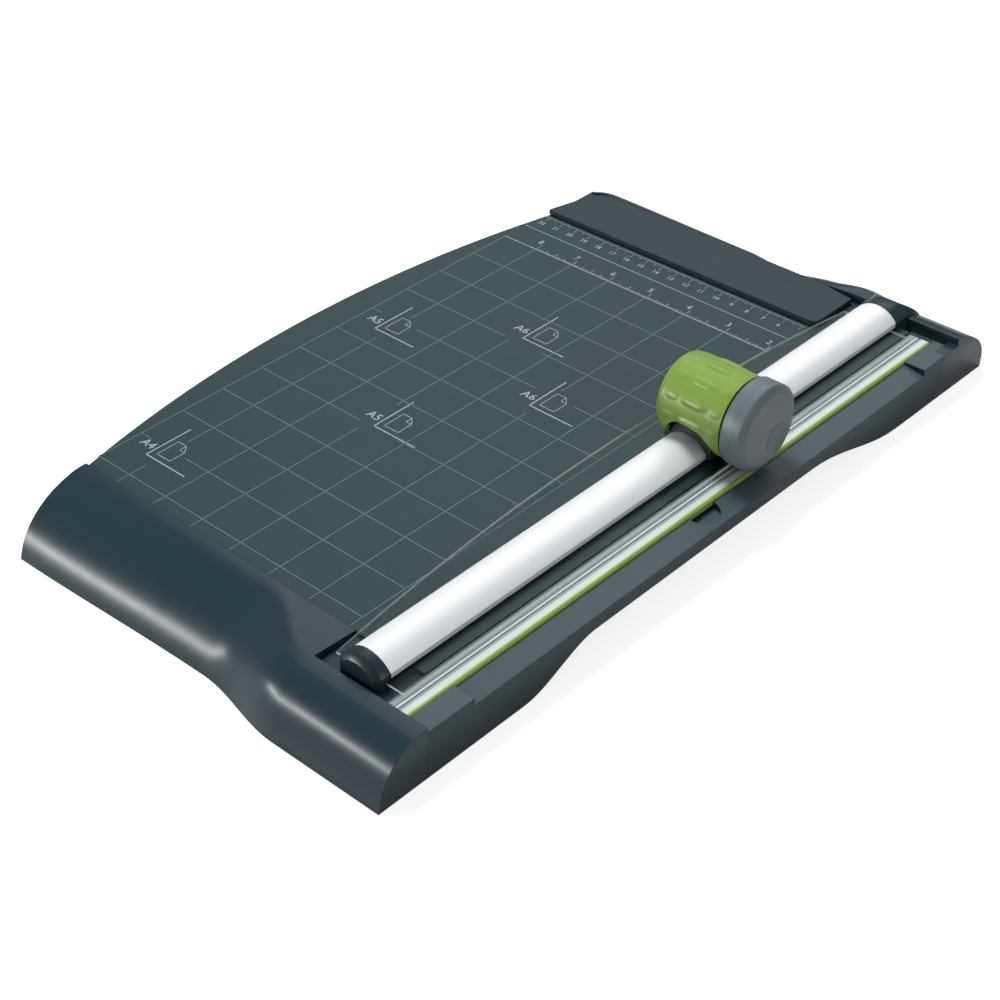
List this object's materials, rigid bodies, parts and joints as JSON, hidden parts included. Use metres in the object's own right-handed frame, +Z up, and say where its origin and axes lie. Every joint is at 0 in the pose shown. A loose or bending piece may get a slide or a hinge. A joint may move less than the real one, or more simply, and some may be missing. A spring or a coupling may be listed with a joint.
{
  "type": "rotary paper trimmer",
  "caption": "Rotary paper trimmer: printed bed with rulers, domed rail over a clear clamp strip, and a sprung head that rolls a round blade along a green cutting strip.",
  "frame": {"origin": "on the ground under the middle of the base's outline", "axes": "+X towards the cut side, +Y along the rail towards the paper stop, +Z up"},
  "size_m": [0.2612, 0.436, 0.0722],
  "materials": {
    "bed_print": "printed, matt",
    "slate_plastic": "moulded, fine texture",
    "pan_plastic": "moulded",
    "strip_green": "smooth, slightly translucent",
    "clear_plastic": "clear, polished edges",
    "anodised": "satin anodised",
    "cap_grey": "moulded",
    "steel": "zinc plated",
    "rubber": "matt",
    "saddle_grey": "moulded",
    "acetal": "low friction",
    "spring_steel": "bright wire",
    "head_green": "moulded, fine texture",
    "disc_grey": "moulded, fine texture",
    "blade_steel": "ground, honed edge",
    "hub_black": "acetal"
  },
  "bodies": {
    "base": {"bed_plate": "bed_print", "chassis": "slate_plastic", "near_end_cover": "slate_plastic", "far_end_cover": "slate_plastic", "near_base_plate": "pan_plastic", "far_base_plate": "pan_plastic", "paper_stop": "slate_plastic", "cutting_strip": "strip_green", "clamp_strip": "clear_plastic", "rail": "anodised", "rail_near_cap": "cap_grey", "rail_far_plug": "cap_grey", "rail_far_post": "slate_plastic", "rail_screws": "steel", "base_screws": "steel", "rubber_feet": "rubber"},
    "carriage": {"carriage_saddle": "saddle_grey", "glide_pads": "acetal", "guide_posts": "steel", "return_spring": "spring_steel"},
    "head": {"head_cover": "head_green", "head_carrier": "saddle_grey", "carrier_screws": "steel", "blade_housing": "disc_grey", "housing_cap": "disc_grey", "blade_axle": "steel", "axle_clip": "steel"},
    "blade": {"blade": "blade_steel", "blade_hub": "hub_black"}
  },
  "joints": [
    {"name": "carriage_slide", "type": "slide", "parent": "base", "child": "carriage", "axis": [0, 1, 0], "range_m": [-0.2038, 0.1194]},
    {"name": "head_press", "type": "slide", "parent": "carriage", "child": "head", "axis": [0, 0, -1], "range_m": [0, 0.001], "stiffness_N_per_m": 1500, "springref_m": -0.002, "deforming": ["return_spring"]},
    {"name": "blade_spin", "type": "hinge", "parent": "head", "child": "blade", "pos_m": [0.11235, 0.0364, 0.0426], "axis": [1, 0, 0], "continuous": true}
  ],
  "couplings": [
    {"joint": "blade_spin", "follows": "carriage_slide", "rad_per_m": -71.429}
  ]
}
